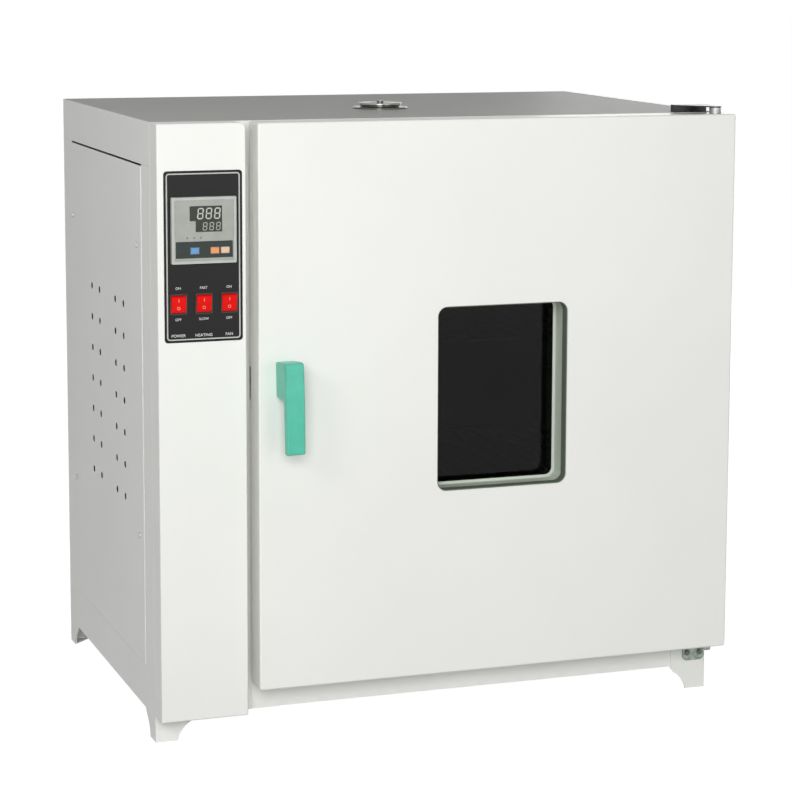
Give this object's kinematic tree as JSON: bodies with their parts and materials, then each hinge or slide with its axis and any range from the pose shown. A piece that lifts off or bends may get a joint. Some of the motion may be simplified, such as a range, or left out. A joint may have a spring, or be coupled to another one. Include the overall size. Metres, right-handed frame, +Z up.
{
  "type": "forced-air drying oven",
  "caption": "Bench laboratory drying oven: insulated stainless chamber with shelves, side fan and heater, hinged windowed door, lever latch and control column.",
  "frame": {"origin": "centre of the bounding box on the floor, under the feet", "axes": "+X to the user's right, -Y towards the user, +Z up"},
  "size_m": [0.9058, 0.728, 0.9276],
  "materials": {
    "aluminium": "cast",
    "black_film": "gloss film",
    "black_paint": "gloss",
    "black_plastic": "satin",
    "blue_key": "satin",
    "display": "gloss",
    "face_film": "satin film",
    "glass": "clear",
    "grey_plastic": "satin",
    "grey_rubber": "matt",
    "heater_tube": "oxidised",
    "orange_key": "satin",
    "red_plastic": "gloss",
    "silicone": "matt",
    "stainless": "fine brushed",
    "steel": "turned",
    "teal_plastic": "gloss",
    "white_paint": "satin powder coat",
    "wool": "fibrous",
    "zinc": "galvanised"
  },
  "bodies": {
    "cabinet": {"feet": "white_paint", "base_tray": "white_paint", "front_frame": "white_paint", "rear_panel": "white_paint", "top_cover": "white_paint", "left_side_cover": "white_paint", "right_side_cover": "white_paint", "cover_screws": "zinc", "chamber_liner": "stainless", "insulation_top": "wool", "insulation_bottom": "wool", "insulation_sides": "wool", "partition": "zinc", "air_duct_plate": "stainless", "fan_motor": "aluminium", "motor_bracket": "zinc", "heater": "heater_tube", "temperature_probe": "stainless", "left_shelf_rack": "stainless", "right_shelf_rack": "stainless", "lower_shelf": "stainless", "upper_shelf": "stainless", "control_panel": "white_paint", "control_plate": "black_film", "controller_housing": "grey_plastic", "controller_face": "face_film", "controller_display": "display", "power_switch_housing": "black_plastic", "heating_switch_housing": "black_plastic", "fan_switch_housing": "black_plastic", "terminal_block": "black_plastic", "heater_relay": "aluminium", "exhaust_tube": "stainless", "exhaust_flange": "zinc", "mains_gland": "black_plastic", "top_hinge_bracket": "black_paint", "top_hinge_pin": "steel", "bottom_hinge_bracket": "zinc", "hinge_screws": "zinc", "latch_keeper": "zinc"},
    "door": {"door_outer_skin": "white_paint", "door_inner_skin": "stainless", "window_trim": "grey_rubber", "window_sleeve": "zinc", "window_glass": "glass", "door_insulation": "wool", "door_gasket": "silicone", "latch_bush": "steel", "hinge_bushes": "zinc"},
    "handle": {"handle_lever": "teal_plastic", "latch_shaft": "steel"},
    "exhaust_disc": {"exhaust_disc": "zinc"},
    "fan": {"fan_wheel": "stainless", "fan_shaft": "steel"},
    "power_rocker": {"power_rocker": "red_plastic"},
    "heating_rocker": {"heating_rocker": "red_plastic"},
    "fan_rocker": {"fan_rocker": "red_plastic"},
    "set_key": {"set_key": "blue_key"},
    "raise_key": {"raise_key": "orange_key"},
    "lower_key": {"lower_key": "orange_key"}
  },
  "joints": [
    {"name": "door_swing", "type": "hinge", "parent": "cabinet", "child": "door", "pos_m": [0.4249, -0.296, 0.4985], "axis": [0, 0, 1], "range_deg": [0, 110]},
    {"name": "handle_turn", "type": "hinge", "parent": "door", "child": "handle", "pos_m": [-0.2655, -0.312, 0.544], "axis": [0, -1, 0], "range_deg": [0, 90]},
    {"name": "exhaust_turn", "type": "hinge", "parent": "cabinet", "child": "exhaust_disc", "pos_m": [-0.0258, -0.031, 0.916], "axis": [0, 0, 1], "range_deg": [0, 45]},
    {"name": "fan_spin", "type": "hinge", "parent": "cabinet", "child": "fan", "pos_m": [-0.22595, -0.009, 0.4985], "axis": [1, 0, 0], "continuous": true},
    {"name": "power_rock", "type": "hinge", "parent": "cabinet", "child": "power_rocker", "pos_m": [-0.4201, -0.2957, 0.658], "axis": [-1, 0, 0], "range_deg": [0, 16]},
    {"name": "heating_rock", "type": "hinge", "parent": "cabinet", "child": "heating_rocker", "pos_m": [-0.3826, -0.2957, 0.658], "axis": [-1, 0, 0], "range_deg": [0, 16]},
    {"name": "fan_rock", "type": "hinge", "parent": "cabinet", "child": "fan_rocker", "pos_m": [-0.3451, -0.2957, 0.658], "axis": [-1, 0, 0], "range_deg": [0, 16]},
    {"name": "set_key_press", "type": "slide", "parent": "cabinet", "child": "set_key", "axis": [0, 1, 0], "range_m": [0, 0.0006], "stiffness_N_per_m": 600},
    {"name": "raise_key_press", "type": "slide", "parent": "cabinet", "child": "raise_key", "axis": [0, 1, 0], "range_m": [0, 0.0006], "stiffness_N_per_m": 600},
    {"name": "lower_key_press", "type": "slide", "parent": "cabinet", "child": "lower_key", "axis": [0, 1, 0], "range_m": [0, 0.0006], "stiffness_N_per_m": 600}
  ]
}
